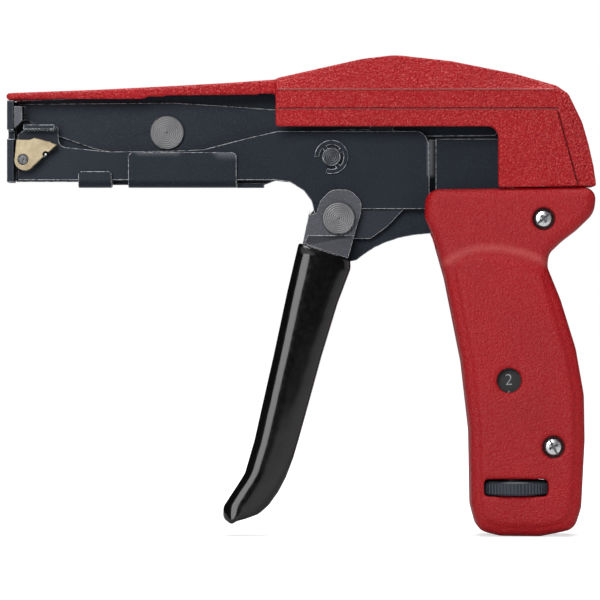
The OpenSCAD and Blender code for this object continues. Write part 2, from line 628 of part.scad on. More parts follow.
module return_spring() color([0.75, 0.76, 0.78]) {
    steps = 8;
    mean = spring_coil_r - return_wire_r;
    x0 = spring_fixed_at.x + post_r * 2.5;
    x1 = lug_at.x - lug_r * 2.5;
    z = lug_at.y;
    hook = post_r + return_wire_r + fit;
    wire(concat(
        [for (w = [60 : 40 : 300]) [spring_fixed_at.x + hook * cos(w), spring_line_y, z + hook * sin(w)]],
        [for (i = [0 : steps * return_turns])
            [x0 + (x1 - x0) * i / (steps * return_turns), spring_line_y + mean * sin(360 * i / steps),
             z - mean * cos(360 * i / steps)]],
        [for (w = [240 : 40 : 480]) [lug_at.x + hook * cos(w), spring_line_y, z + hook * sin(w)]]), return_wire_r);
}

// Trigger: a folded channel with the near ear and the inner lever
trigger_t = 1.5;
grip_skin = 1;
grip_liner = 0.7;
channel_near = -6.1;
channel_far = inner_y + plate;
bearing_gap = 0.3;
guide_arc = [-8, 22];
arm_reach_px = 125;
ear_rows_px = [[308.6, 238, 0], [320.2, 200.4, 20], [331, 189.2, 14], [350, 189.2, 14], [362, 201, 16],
    [361, 213, 6], [353.6, 238, 0]];
arm_rows_px = [[302.6, 243, 0], [308.6, 215, 4], [318, 205, 4], [312, 166, 18], [318, 140, 16], [346, 140, 14],
    [361, 156, 0], [379.1, 99.9, 6], [398, 104, 14], [398, 120, 10], [376, 160, 14], [382, 184, 20],
    [404, 200, 4], [404, 209, 2], [388, 226, 60], [370.7, 238.4, 3], [353, 238.4, 0], [348.2, 258.6, 0],
    [340, 262, 0], [303, 250, 0]];
sleeve_rows_px = [[303.3, 243.5, 0], [350.4, 258.4, 4], [350.6, 269, 6], [337.7, 303.3, 20], [321.7, 356, 30],
    [307.9, 406.6, 40], [298.7, 440, 20], [293.4, 458, 20], [286, 477.5, 20], [278.6, 491.6, 16],
    [268.6, 505.6, 14], [258.5, 514.3, 10], [245, 519, 8], [236, 521.4, 0], [231.5, 524.9, 5], [222.6, 518, 7],
    [223.2, 507, 7], [237, 486, 12], [244.6, 474, 12], [254.5, 440, 30], [262, 406.6, 40], [273.5, 356, 60],
    [287.2, 291.8, 40], [298.6, 243, 0]];
flange_rows_px = [[302.4, 243, 0], [290.8, 292, 0], [277.1, 356, 0], [265.6, 407, 0], [258.1, 440, 0],
    [248.5, 474, 0], [241, 486.5, 0], [233, 500, 0], [228, 509, 0], [231, 516, 0], [246, 514.5, 0],
    [257, 510.5, 0], [266, 502.5, 0], [275.5, 489.6, 0], [282.7, 476, 0], [290, 457, 0], [295.3, 439, 0],
    [304.4, 405.6, 0], [318.3, 355, 0], [334.3, 302.5, 0], [346.6, 265, 0], [347, 257.8, 0]];
web_rows_px = [[302.4, 243, 0], [290.8, 292, 0], [277.1, 356, 0], [265.6, 407, 0], [258.1, 440, 0],
    [248.5, 474, 0], [241, 486.5, 0], [233, 500, 0], [239, 501, 0], [246, 488.5, 0], [253.8, 476, 0],
    [263.5, 441.5, 0], [271, 408, 0], [282.5, 357, 0], [296.2, 293, 0], [307.8, 244, 0]];
neck_rows_px = [[302.6, 243, 0], [308.6, 215, 3], [312, 214, 0], [311, 222, 0], [308, 250, 0], [302, 250, 0]];
neck_ear_rows_px = [[302.6, 243, 0], [308.6, 215, 3], [320, 212, 0], [320, 242, 0], [308, 250, 0], [302, 250, 0]];
flare_top_px = [[308, 235.6, 0], [354.2, 235.6, 0], [354, 236.8, 0], [307, 236.8, 0]];
flare_foot_px = [[303, 246.2, 0], [347.4, 260.4, 0], [347.4, 261.6, 0], [303, 247.4, 0]];
sleeve_near = channel_near - grip_skin;
sleeve_far = channel_far + grip_skin;
sleeve_round = 0.6;

// The steel of the trigger below the ear: neck, flare, flanges and web
module trigger_steel() {
    plate_px(neck_rows_px, -gap - trigger_t, inner_y + plate);
    plate_px(neck_ear_rows_px, -gap - trigger_t, -gap);
    hull() {
        plate_px(flare_top_px, -gap - trigger_t, -gap);
        plate_px(flare_foot_px, channel_near, channel_near + trigger_t);
    }
    plate_px(flange_rows_px, channel_near, channel_near + trigger_t);
    plate_px(flange_rows_px, inner_y, inner_y + plate);
    plate_px(arm_rows_px, inner_y, inner_y + plate);
    plate_px(web_rows_px, channel_near, inner_y + plate);
}

// The room between the flanges, open at the back
channel_room_rows_px = [[313, 250, 0], [360, 250, 0], [360, 300, 0], [330, 420, 0], [300, 490, 0], [262, 520, 0],
    [247, 508, 6], [259, 484, 10], [269, 455, 20], [280, 410, 30], [297, 332, 30]];

module trigger_lever() color([0.3, 0.31, 0.34]) difference() {
    union() {
        plate_px(ear_rows_px, -gap - trigger_t, -gap);
        trigger_steel();
    }
    peg(pivot_at, pivot_r, -trigger_t - gap - over, -gap + over / 10);
    peg(pivot_at, pivot_r, inner_y - over / 10, inner_y + plate + over / 10);
    arc_slot();
}

// Slot in the inner lever that clears the guide pin through the squeeze
module arc_slot() {
    r = norm(guide_at - pivot_at);
    half = guide_r + slot_clear;
    intersection() {
        difference() {
            peg(pivot_at, r + half, inner_y - over / 5, inner_y + plate + over / 5);
            peg(pivot_at, r - half, inner_y - over, inner_y + plate + over);
        }
        side(inner_y - over / 5, inner_y + plate + over / 5)
            polygon([pivot_at, for (w = [guide_arc.x : (guide_arc.y - guide_arc.x) / 3 : guide_arc.y])
                pivot_at + 2 * r * [sin(w), cos(w)]]);
    }
    for (w = guide_arc) peg(pivot_at + r * [sin(w), cos(w)], half, inner_y - over / 5, inner_y + plate + over / 5);
}

module trigger_grip() color([0.03, 0.03, 0.03]) difference() {
    pts = outline(sleeve_rows_px);
    loft([inset(pts, sleeve_round), inset(pts, sleeve_round * 0.3), pts, pts, inset(pts, sleeve_round * 0.3),
          inset(pts, sleeve_round)],
        [sleeve_near, sleeve_near + sleeve_round * 0.3, sleeve_near + sleeve_round, sleeve_far - sleeve_round,
         sleeve_far - sleeve_round * 0.3, sleeve_far]);
    plate_px(channel_room_rows_px, channel_near + trigger_t + grip_liner, inner_y - grip_liner);
    trigger_steel();
}

// Turned rivet that the trigger swings on
pivot_head = 1.6;
pivot_tail_r = 3.2;
pivot_tail = 1;

module trigger_pivot() color([0.4, 0.41, 0.42]) {
    peg(pivot_at, pivot_head_r, -gap - trigger_t - pivot_head, -gap - trigger_t);
    peg(pivot_at, pivot_r, -gap - trigger_t, inner_y + plate);
    peg(pivot_at, pivot_tail_r, inner_y + plate, inner_y + plate + pivot_tail);
}

// Cut lever, its rivet and the blade
fork_gap_px = 0.7;
blade_px = [[14.2, 106.3], [22, 128]];
blade_bar_px = 114.5;
blade_bar_back_px = 19.8;
blade_edge = 0.4;
blade_heel_px = 120.6;
cut_rows_px = [[16.4, 102.8, 1], [172, 101.4, 0], [220, 104.3, 0], [275.5, 108.3, 0], [318, 104, 10], [346, 95.5, 12],
    [380, 95.5, 12], [400, 116.5, 10], [498, 119.5, 3], [498, 134.6, 3], [430, 135.3, 0], [390, 129, 10],
    [340, 129, 10], [280, 140, 10], [230, 152, 10], [200, 154, 0], [120, 153, 0], [93, 148, 0], [50, 133, 0],
    [26, 119.5, 3], [16.4, 119, 2], [16.4, 115.2, 0], [22.7, 115.2, 0], [22.7, 105.6, 0], [16.4, 105.6, 0]];
cut_rivet_head = 1.3;
fulcrum_slide = 1.2;

module cut_lever() color([0.2, 0.23, 0.28]) difference() {
    plate_px(cut_rows_px, cut_y, cut_y + plate);
    peg(cut_rivet_at, cut_rivet_r + fit, cut_y - over, cut_y + plate + over);
    arm = fulcrum_at - cut_rivet_at;
    translate([cut_rivet_at.x, 0, cut_rivet_at.y]) rotate([0, -atan2(arm.y, arm.x), 0])
        round_slot([norm(arm) - fulcrum_slide, 0], fulcrum_slide, fulcrum_r + slot_clear, cut_y - over, cut_y + plate + over);
}

module cut_lever_rivet() color([0.4, 0.41, 0.42]) {
    peg(cut_rivet_at, cut_rivet_head_r, cut_y - fit - cut_rivet_head, cut_y - fit);
    peg(cut_rivet_at, cut_rivet_r, cut_y - fit, wall_back);
}

module cutter_blade() color([0.3, 0.33, 0.36]) {
    plate_px([[blade_px[0].x, blade_px[0].y, 0], [blade_px[1].x, blade_px[0].y, 0], [blade_px[1].x, blade_heel_px, 0],
        [blade_px[0].x + blade_edge, blade_px[1].y, 0], [blade_px[0].x, blade_px[1].y, 0]], -pawl_t - gap, -gap);
    plate_px([[blade_px[0].x, blade_px[0].y, 0], [blade_bar_back_px, blade_px[0].y, 0],
        [blade_bar_back_px, blade_bar_px, 0], [blade_px[0].x, blade_bar_px, 0]], -gap, cut_y + plate);
}

// Tension lever, pressed down by the trigger's pull and held up by the spring
tension_lever_y = [-3.3, -0.9];
hub_r = 3.4;
hub_half = wall_y - gap;
foot_far = 2.5;
lever_foot_px = [[505, 112], [528, 119.3]];
lever_rows_px = [[352, 99, 12], [352, 124, 12], [378, 124, 10], [404, 104, 14], [440, 100, 14], [470, 119.3, 6],
    [528, 119.3, 1], [528, 108, 4], [480, 98, 20], [438, 69.5, 12], [414, 69.5, 12]];

module tension_lever() color([0.25, 0.27, 0.3]) difference() {
    union() {
        plate_px(lever_rows_px, tension_lever_y.x, tension_lever_y.y);
        peg(lever_at, hub_r, -hub_half, hub_half);
        block([at(lever_foot_px[0].x, 0).x, tension_lever_y.x, at(0, lever_foot_px[1].y).y],
            [at(lever_foot_px[1].x, 0).x, foot_far, at(0, lever_foot_px[0].y).y]);
    }
    peg(lever_at, lever_pin_r + fit, -hub_half - over, hub_half + over);
    peg(fulcrum_at, fulcrum_r, tension_lever_y.x - over, tension_lever_y.y + over);
}

module tension_lever_pin() color([0.45, 0.46, 0.5]) peg(lever_at, lever_pin_r, cheek_y, wall_back);
module fulcrum_pin() color([0.45, 0.46, 0.5]) peg(fulcrum_at, fulcrum_r, tension_lever_y.x, cut_y + plate);

// Rod, cap, nut, scale, spring, seat and thumbwheel, all on the rod's axis
rod_at = [rod_x, 0];
cap_top_z = at(0, lever_foot_px[1].y).y - 0.2 * plate;
cap_r = 2.7;
cap_h = 7;
cap_dome = 0.6;
spigot_r = 1.2;
spigot_h = 4;
rod_foot_z = 10.6;
rod_flat = 0.5;
rod_flat_top_z = 25;
wheel_z = 11.8;
hub_wheel_r = 4;
seat_z = 17;
seat_t = 1.5;
seat_x = [51.1, 78.4];
nut_z = 72;
nut_h = 5;
nut_reach = 3.2;
scale_w = 7;
scale_t = 0.9;
scale_foot_z = 38.2;
scale_gap = 0.3;
scale_y = scale_gap - handle_inner;
seat_y = [scale_y + scale_t + scale_gap, handle_inner - scale_gap];
spring_room = 0.6;
spring_r = -scale_y - scale_t - spring_room;
nut_r = spring_r - spring_room;
hub_foot = 1.7;
ledge_w = 2.4;
ledge_root = 1;
shelf_h = 1.5;

module thrust_cap() color([0.45, 0.46, 0.5]) difference() {
    translate([rod_x, 0, cap_top_z - cap_h]) rotate_extrude($fn = 48)
        polygon([[0, 0], [cap_r, 0], [cap_r, cap_h - cap_dome], [cap_r * 0.8, cap_h - cap_dome / 3], [0, cap_h]]);
    post(rod_at, spigot_r + fit, cap_top_z - cap_h - over, cap_top_z - cap_h + spigot_h + fit);
}

module tension_rod() color([0.55, 0.56, 0.58]) difference() {
    union() {
        post(rod_at, rod_r, rod_foot_z, cap_top_z - cap_h);
        post(rod_at, spigot_r, cap_top_z - cap_h, cap_top_z - cap_h + spigot_h);
    }
    rod_flat_cut(0);
}

// The flat that keys the rod to the thumbwheel
module rod_flat_cut(clear) block([rod_x + rod_r - rod_flat + clear, -rod_r - over, rod_foot_z - over],
    [rod_x + rod_r + over, rod_r + over, rod_flat_top_z]);

module tension_nut() color([0.6, 0.55, 0.4]) difference() {
    union() {
        post(rod_at, nut_r, nut_z, nut_z + nut_h);
        block([window_at.x - nut_reach, scale_y + scale_t, nut_z], [rod_x + nut_reach, 0, nut_z + nut_h]);
    }
    post(rod_at, rod_r + fit, nut_z - over, nut_z + nut_h + over);
}

module tension_scale() color([0.08, 0.08, 0.09])
    block([window_at.x - scale_w / 2, scale_y, scale_foot_z], [window_at.x + scale_w / 2, scale_y + scale_t, nut_z + nut_h]);

module tension_spring() color([0.5, 0.5, 0.53]) {
    steps = 12;
    r = spring_wire / 2;
    z0 = seat_z + seat_t + r * 1.1;
    z1 = nut_z - r * 1.1;
    wire([for (i = [0 : steps * spring_turns])
        let (part = i / steps / spring_turns, eased = max(0, min(1, (part * spring_turns - 1) / (spring_turns - 2))),
             ends = min(1, part * spring_turns) + max(0, part * spring_turns - spring_turns + 1))
        [rod_x + (spring_r - r) * cos(360 * i / steps), (spring_r - r) * sin(360 * i / steps),
         z0 + ends * spring_wire * 1.15 + eased * (z1 - z0 - 2 * spring_wire * 1.15)]], r);
}

module spring_seat() color([0.4, 0.41, 0.43]) difference() {
    block([seat_x.x, seat_y.x, seat_z], [seat_x.y, seat_y.y, seat_z + seat_t]);
    post(rod_at, rod_r + fit, seat_z - over, seat_z + seat_t + over);
}

rib_depth = 0.45;

module thumbwheel() color([0.14, 0.16, 0.2]) difference() {
    union() {
        translate([rod_x, 0, wheel_z]) linear_extrude(wheel_h) polygon([for (i = [0 : wheel_ribs - 1])
            each [for (k = [[0, 0], [0.15, 1], [0.55, 1], [0.7, 0]])
                (wheel_r - rib_depth + rib_depth * k.y) * [cos((i + k.x) * 360 / wheel_ribs),
                                                          sin((i + k.x) * 360 / wheel_ribs)]]]);
        post(rod_at, hub_wheel_r, wheel_z - hub_foot, seat_z - fit);
    }
    difference() {
        post(rod_at, rod_r + fit, wheel_z - hub_foot - over, seat_z + over);
        rod_flat_cut(fit);
    }
}

frame();
nose_plate();
top_cover();
cover_rivets();
grip_near();
grip_far();
grip_screws();
carriage();
gripper_pawl();
pawl_pin();
pawl_spring();
guide_pin();
e_clip();
return_spring();
spring_post();
trigger_lever();
trigger_grip();
trigger_pivot();
cut_lever();
cut_lever_rivet();
cutter_blade();
tension_lever();
tension_lever_pin();
fulcrum_pin();
thrust_cap();
tension_rod();
tension_nut();
tension_scale();
tension_spring();
spring_seat();
thumbwheel();
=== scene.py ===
import json
import math

import bmesh
import bpy
from mathutils import Matrix, Vector


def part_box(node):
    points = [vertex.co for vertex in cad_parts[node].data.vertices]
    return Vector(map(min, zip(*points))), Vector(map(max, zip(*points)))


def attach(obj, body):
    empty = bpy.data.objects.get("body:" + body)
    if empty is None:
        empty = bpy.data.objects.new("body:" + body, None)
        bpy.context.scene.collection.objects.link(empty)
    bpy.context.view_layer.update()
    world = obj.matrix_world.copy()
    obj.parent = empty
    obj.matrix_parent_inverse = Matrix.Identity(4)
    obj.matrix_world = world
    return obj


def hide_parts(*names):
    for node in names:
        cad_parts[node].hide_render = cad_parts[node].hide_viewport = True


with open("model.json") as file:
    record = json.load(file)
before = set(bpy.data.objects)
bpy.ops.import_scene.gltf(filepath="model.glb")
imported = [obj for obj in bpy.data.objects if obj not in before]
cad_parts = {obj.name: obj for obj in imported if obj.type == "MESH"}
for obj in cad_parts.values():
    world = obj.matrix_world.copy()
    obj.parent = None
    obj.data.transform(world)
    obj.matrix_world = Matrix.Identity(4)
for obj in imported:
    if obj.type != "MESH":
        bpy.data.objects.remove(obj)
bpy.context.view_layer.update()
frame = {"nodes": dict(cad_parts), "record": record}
nodes = frame["nodes"]
bodies = frame["record"]["behaviour"]["bodies"]
bodyOf = {node: body for body, members in bodies.items() for node in members}
print("stage: frame loaded")

# Camera: the photograph's level view from the near side
view = {"distance": 1.2, "wide": 0.1728, "middle": (-0.00035, 0.06797), "plane": -0.005, "sensor": 36,
        "farthest": 20}
cameraData = bpy.data.cameras.new("camera")
cameraData.sensor_width = view["sensor"]
cameraData.lens = view["sensor"] * view["distance"] / view["wide"]
cameraData.clip_end = view["farthest"]
camera = bpy.data.objects.new("camera", cameraData)
bpy.context.scene.collection.objects.link(camera)
camera.location = (view["middle"][0], view["plane"] - view["distance"], view["middle"][1])
camera.rotation_euler = (math.radians(90), 0, 0)
scene = bpy.context.scene
scene.camera = camera
scene.view_settings.view_transform = "Standard"
print("stage: camera")


def addLight(name, place, target, size, power, tall=None):
    data = bpy.data.lights.new(name, "AREA")
    data.energy = power
    data.size = size
    if tall:
        data.shape = "RECTANGLE"
        data.size_y = tall
    lamp = bpy.data.objects.new(name, data)
    scene.collection.objects.link(lamp)
    lamp.location = place
    lamp.rotation_euler = (Vector(target) - Vector(place)).to_track_quat("-Z", "Y").to_euler()


# Studio: four square lights aimed at the centre, each with its place, size and power, and one tall strip that the
# glossy sleeve mirrors; the room itself is dim, but the camera sees it white
studio = {"world": 0.03, "centre": (0.0, 0.0, 0.07)}
squares = {
    "keyLight": ((-0.2, -1.1, 0.5), 0.4, 6.0),
    "fillLight": ((0.8, -0.8, 0.3), 0.6, 0.6),
    "topLight": ((0.05, 0.1, 0.9), 0.8, 12.0),
    "rimLight": ((0.75, -0.25, 0.1), 0.4, 0.4),
}
strip = {"place": (-0.267, -0.481, 0.05), "target": (0.0, 0.0, 0.05), "wide": 0.2, "tall": 0.6, "power": 1.6}
for name, (place, size, power) in squares.items():
    addLight(name, place, studio["centre"], size, power)
addLight("stripLight", strip["place"], strip["target"], strip["wide"], strip["power"], strip["tall"])

world = bpy.data.worlds.new("studioWorld")
scene.world = world
world.use_nodes = True
worldTree = world.node_tree
worldTree.nodes.clear()
rayPath = worldTree.nodes.new("ShaderNodeLightPath")
whiteRoom = worldTree.nodes.new("ShaderNodeBackground")
whiteRoom.inputs["Strength"].default_value = studio["world"]
whiteSeen = worldTree.nodes.new("ShaderNodeBackground")
roomMix = worldTree.nodes.new("ShaderNodeMixShader")
roomOut = worldTree.nodes.new("ShaderNodeOutputWorld")
for room in (whiteRoom, whiteSeen):
    room.inputs["Color"].default_value = (1, 1, 1, 1)
whiteSeen.inputs["Strength"].default_value = 1
worldTree.links.new(rayPath.outputs["Is Camera Ray"], roomMix.inputs[0])
worldTree.links.new(whiteRoom.outputs[0], roomMix.inputs[1])
worldTree.links.new(whiteSeen.outputs[0], roomMix.inputs[2])
worldTree.links.new(roomMix.outputs[0], roomOut.inputs[0])
print("stage: light")


# Materials: every one is built from object coordinates, in metres
class Shader:
    def __init__(self, name):
        self.material = bpy.data.materials.new(name)
        self.material.use_nodes = True
        self.tree = self.material.node_tree
        self.tree.nodes.clear()
        self.out = self.add("ShaderNodeOutputMaterial")
        self.bsdf = self.add("ShaderNodeBsdfPrincipled")
        self.join(self.bsdf.outputs[0], self.out.inputs["Surface"])
        self.place = self.add("ShaderNodeTexCoord").outputs["Object"]

    def add(self, kind, settings=None, **inputs):
        node = self.tree.nodes.new(kind)
        for key, value in (settings or {}).items():
            setattr(node, key, value)
        for key, value in inputs.items():
            self.give(node.inputs[key.replace("_", " ")], value)
        return node

    def give(self, socket, value):
        if isinstance(value, bpy.types.NodeSocket):
            self.join(value, socket)
        else:
            socket.default_value = value

    def join(self, a, b):
        self.tree.links.new(a, b)

    def noise(self, scale, detail=3.0, rough=0.55, vector=None):
        return self.add("ShaderNodeTexNoise", Vector=vector or self.place, Scale=scale, Detail=detail,
                        Roughness=rough).outputs["Fac"]

    def ramp(self, value, *stops):
        node = self.add("ShaderNodeValToRGB", Fac=value)
        band = node.color_ramp
        while len(band.elements) < len(stops):
            band.elements.new(0.5)
        for element, (position, colour) in zip(band.elements, stops):
            element.position = position
            element.color = (*colour, 1)
        return node.outputs["Color"]

    def sums(self, kind, a, b, clamp=False):
        node = self.add("ShaderNodeMath", {"operation": kind, "use_clamp": clamp})
        self.give(node.inputs[0], a)
        self.give(node.inputs[1], b)
        return node.outputs[0]

    def mix(self, factor, a, b, kind="MIX"):
        node = self.add("ShaderNodeMix", {"data_type": "RGBA", "blend_type": kind})
        self.give(node.inputs[0], factor)
        self.give(node.inputs[6], a)
        self.give(node.inputs[7], b)
        return node.outputs[2]

    # The way from a place in the side view, without its depth
    def flatFrom(self, place):
        apart = self.add("ShaderNodeVectorMath", {"operation": "SUBTRACT"})
        self.join(self.place, apart.inputs[0])
        apart.inputs[1].default_value = (place[0], 0, place[1])
        flat = self.add("ShaderNodeVectorMath", {"operation": "MULTIPLY"})
        self.join(apart.outputs[0], flat.inputs[0])
        flat.inputs[1].default_value = (1, 0, 1)
        return flat.outputs[0]

    # 1 on the line from start to end in the side view, falling to 0 at the width
    def nearLine(self, start, end, width):
        along = Vector((end[0] - start[0], 0, end[1] - start[1]))
        flat = self.flatFrom(start)
        dot = self.add("ShaderNodeVectorMath", {"operation": "DOT_PRODUCT"})
        self.join(flat, dot.inputs[0])
        dot.inputs[1].default_value = along / along.length_squared
        share = self.sums("MAXIMUM", self.sums("MINIMUM", dot.outputs["Value"], 1.0), 0.0)
        foot = self.add("ShaderNodeVectorMath", {"operation": "SCALE"})
        foot.inputs[0].default_value = along
        self.join(share, foot.inputs["Scale"])
        span = self.add("ShaderNodeVectorMath", {"operation": "DISTANCE"})
        self.join(flat, span.inputs[0])
        self.join(foot.outputs[0], span.inputs[1])
        return self.sums("SUBTRACT", 1.0, self.sums("DIVIDE", span.outputs["Value"], width), True)

    def nearLines(self, points, width):
        near = self.nearLine(points[0], points[1], width)
        for start, end in zip(points[1:], points[2:]):
            near = self.sums("MAXIMUM", near, self.nearLine(start, end, width))
        return near

    # Base colour between two tones, and roughness round a middle, each led by a value such as a noise
    def tint(self, value, dark, light, start=0.3, end=0.7):
        self.give(self.bsdf.inputs["Base Color"], self.ramp(value, (start, dark), (end, light)))

    def roughen(self, value, middle, below, above, start=0.3, end=0.7):
        self.give(self.bsdf.inputs["Roughness"],
                  self.ramp(value, (start, grey(middle - below)), (end, grey(middle + above))))

    def bump(self, height, strength, distance):
        node = self.add("ShaderNodeBump", Height=height, Strength=strength, Distance=distance)
        self.join(node.outputs["Normal"], self.bsdf.inputs["Normal"])

    def fix(self, **inputs):
        for key, value in inputs.items():
            self.bsdf.inputs[key.replace("_", " ")].default_value = value


def grey(value):
    return (value, value, value)


# Red mouldings: a bent pebble grain with fine noise on it, painted shade in the grain's valleys that leaves its
# crests lighter, and small painted glints; then creases with a painted highlight on raised ones and painted shade in
# sunk ones, and painted shadow in the screw bores
moulding = {"bendScale": 0.5, "bend": 0.9, "smooth": 0.7, "fineScale": 2.6, "fineShare": 0.45, "toneScale": 38.0,
            "valleyShade": 0.42, "crest": 0.5, "shading": 0.75, "glintScale": 1.9, "glint": (0.95, 0.2, 0.16, 1),
            "raised": (0.85, 0.22, 0.2, 1), "grooveShade": (0.1, 0.003, 0.006, 1), "boreShadow": (0.012, 0.004, 0.005, 1),
            "holeRim": 0.06, "holeShade": 0.92, "dotLong": 0.00001, "specular": 0.3}


def redMoulding(name, cell, depth, colour, dark, gloss, sparkle, creases=(), shadowedBores=()):
    s = Shader(name)
    bent = s.add("ShaderNodeVectorMath", {"operation": "MULTIPLY_ADD"})
    bends = s.add("ShaderNodeTexNoise", Vector=s.place, Scale=moulding["bendScale"] / cell, Detail=2.0)
    s.join(bends.outputs["Color"], bent.inputs[0])
    bent.inputs[1].default_value = (cell * moulding["bend"],) * 3
    s.join(s.place, bent.inputs[2])
    cells = s.add("ShaderNodeTexVoronoi", {"feature": "SMOOTH_F1"}, Vector=bent.outputs[0], Scale=1 / cell,
                  Smoothness=moulding["smooth"]).outputs["Distance"]
    fine = s.noise(moulding["fineScale"] / cell, 4.0, 0.6)
    height = s.sums("ADD", s.sums("MULTIPLY", cells, -1.0), s.sums("MULTIPLY", fine, moulding["fineShare"]))
    base = s.ramp(s.noise(moulding["toneScale"]), (0.3, dark), (0.7, colour))
    # Painted shade: the grain's valleys are darkened and its crests left at full tone
    crest = s.ramp(height, (0.0, grey(moulding["valleyShade"])), (moulding["crest"], grey(1.0)))
    shade = s.mix(moulding["shading"], base, crest, "MULTIPLY")
    # Painted highlights: small light glints scattered over the grain
    paintedGlints = s.ramp(s.noise(moulding["glintScale"] / cell, 1.0, 0.4), (0.55, grey(0.0)), (0.7, grey(sparkle)))
    shade = s.mix(paintedGlints, shade, moulding["glint"])
    # Each crease is bumped and tinted: a painted highlight along raised ones, painted shade in sunk ones
    for points, width, rise, share in creases:
        near = s.nearLines(points, width)
        height = s.sums("ADD", height, s.sums("MULTIPLY", near, rise))
        shade = s.mix(s.sums("MULTIPLY", near, share), shade, moulding["raised" if rise > 0 else "grooveShade"])
    # Painted shadow: each screw bore is darkened out to its reach round the screw's middle
    for (x, z), reach in shadowedBores:
        near = s.nearLine((x, z), (x + moulding["dotLong"], z), reach)
        boreShade = s.ramp(near, (0.0, grey(0.0)), (moulding["holeRim"], grey(moulding["holeShade"])))
        shade = s.mix(boreShade, shade, moulding["boreShadow"])
    s.give(s.bsdf.inputs["Base Color"], shade)
    s.roughen(fine, gloss, 0.06, 0.1, 0.25, 0.75)
    s.fix(Specular_IOR_Level=moulding["specular"])
    s.bump(height, 1.0, depth)
    return s.material


# Plates: a cloudy blue, dust specks, a grain along the sheet and a painted highlight along bends
blued = {"cloudScale": 26.0, "speckScale": 2600.0, "speck": (0.56, 0.68, 0.5), "grain": (500, 500, 9000),
         "cloudShare": 0.6, "grainShare": 0.4, "grainRise": 0.6, "bump": (0.25, 0.00002), "bendHighlightPower": 1.6,
         "bend": (0.42, 0.44, 0.48, 1), "specular": 0.16}


def plateSteel(name, colour, light, gloss, metal, bends=()):
    s = Shader(name)
    cloud = s.noise(blued["cloudScale"], 4.0)
    speck = s.noise(blued["speckScale"], 2.0)
    stretched = s.add("ShaderNodeMapping", Vector=s.place)
    stretched.inputs["Scale"].default_value = blued["grain"]
    grain = s.noise(1.0, 2.0, 0.5, stretched.outputs[0])
    base = s.ramp(cloud, (0.25, colour), (0.8, light))
    start, end, share = blued["speck"]
    specks = s.ramp(speck, (start, grey(0.0)), (end, grey(share)))
    shade = s.mix(specks, base, (*(2 * c for c in light), 1))
    # Painted highlight: bends are tinted lighter near their line, on faces in front of the given depth
    for points, width, share, depth in bends:
        split = s.add("ShaderNodeSeparateXYZ", Vector=s.place)
        near = s.sums("POWER", s.nearLines(points, width), blued["bendHighlightPower"])
        near = s.sums("MULTIPLY", near, s.sums("LESS_THAN", split.outputs["Y"], depth))
        shade = s.mix(s.sums("MULTIPLY", near, share), shade, blued["bend"])
    s.give(s.bsdf.inputs["Base Color"], shade)
    s.fix(Metallic=metal, Specular_IOR_Level=blued["specular"])
    worn = s.sums("ADD", s.sums("MULTIPLY", cloud, blued["cloudShare"]),
                  s.sums("MULTIPLY", grain, blued["grainShare"]))
    s.roughen(worn, gloss, 0.06, 0.08)
    s.bump(s.sums("ADD", speck, s.sums("MULTIPLY", grain, blued["grainRise"])), *blued["bump"])
    return s.material


# Edges where the blue has worn off, painted light, partly as worn bare steel and partly as a painted highlight that
# the rounded edge catches, broken up by what is left of the blue
wear = {"patchScale": 700.0, "grainScale": 1500.0, "gloss": 0.4, "metal": 0.2}


def wornEdge(name, colour, light):
    s = Shader(name)
    s.tint(s.noise(wear["patchScale"], 4.0, 0.7), colour, light, 0.4, 0.56)
    s.fix(Metallic=wear["metal"])
    s.roughen(s.noise(wear["grainScale"]), wear["gloss"], 0.1, 0.1)
    return s.material


# Turned faces: rings round the middle, and the dark dot that the lathe leaves there
turned = {"pitch": 0.00058, "cloudScale": 240.0, "ring": 0.72, "dot": 0.4, "dotReach": 0.002, "metal": 0.45,
          "bump": (0.6, 0.00005)}


def turnedSteel(name, middle, colour, light, gloss):
    s = Shader(name)
    span = s.add("ShaderNodeVectorMath", {"operation": "LENGTH"})
    s.join(s.flatFrom(middle), span.inputs[0])
    reach = span.outputs["Value"]
    turns = s.sums("SINE", s.sums("MULTIPLY", reach, 2 * math.pi / turned["pitch"]), 0.0)
    cloud = s.noise(turned["cloudScale"], 4.0)
    base = s.ramp(cloud, (0.3, colour), (0.75, light))
    waves = s.sums("ADD", s.sums("MULTIPLY", turns, 0.5), 0.5)
    rings = s.ramp(waves, (0.1, grey(turned["ring"])), (0.9, grey(1.0)))
    dot = s.ramp(s.sums("DIVIDE", reach, turned["dotReach"]), (0.1, grey(turned["dot"])), (0.2, grey(1.0)))
    s.give(s.bsdf.inputs["Base Color"], s.mix(1.0, s.mix(1.0, base, rings, "MULTIPLY"), dot, "MULTIPLY"))
    s.fix(Metallic=turned["metal"])
    s.roughen(cloud, gloss, 0.05, 0.1)
    s.bump(turns, *turned["bump"])
    return s.material


bright = {"cloudScale": 300.0, "grainScale": 1800.0, "bump": (0.3, 0.00003)}


def brightMetal(name, colour, light, gloss, metal=1.0):
    s = Shader(name)
    grain = s.noise(bright["grainScale"])
    s.tint(s.noise(bright["cloudScale"], 4.0), colour, light)
    s.fix(Metallic=metal)
    s.roughen(grain, gloss, 0.06, 0.12)
    s.bump(grain, *bright["bump"])
    return s.material


vinyl = {"swellScale": 60.0, "dustScale": 900.0, "dark": (0.0015, 0.0015, 0.0018), "light": (0.003, 0.003, 0.0035),
         "specular": 0.4, "coat": 0.4, "coatRough": 0.05, "bump": (0.25, 0.0004)}


def dippedVinyl(name):
    s = Shader(name)
    swell = s.noise(vinyl["swellScale"], 2.0)
    s.tint(swell, vinyl["dark"], vinyl["light"])
    s.roughen(s.noise(vinyl["dustScale"]), 0.1, 0.0, 0.07, 0.35)
    s.fix(Specular_IOR_Level=vinyl["specular"], Coat_Weight=vinyl["coat"], Coat_Roughness=vinyl["coatRough"])
    s.bump(swell, *vinyl["bump"])
    return s.material


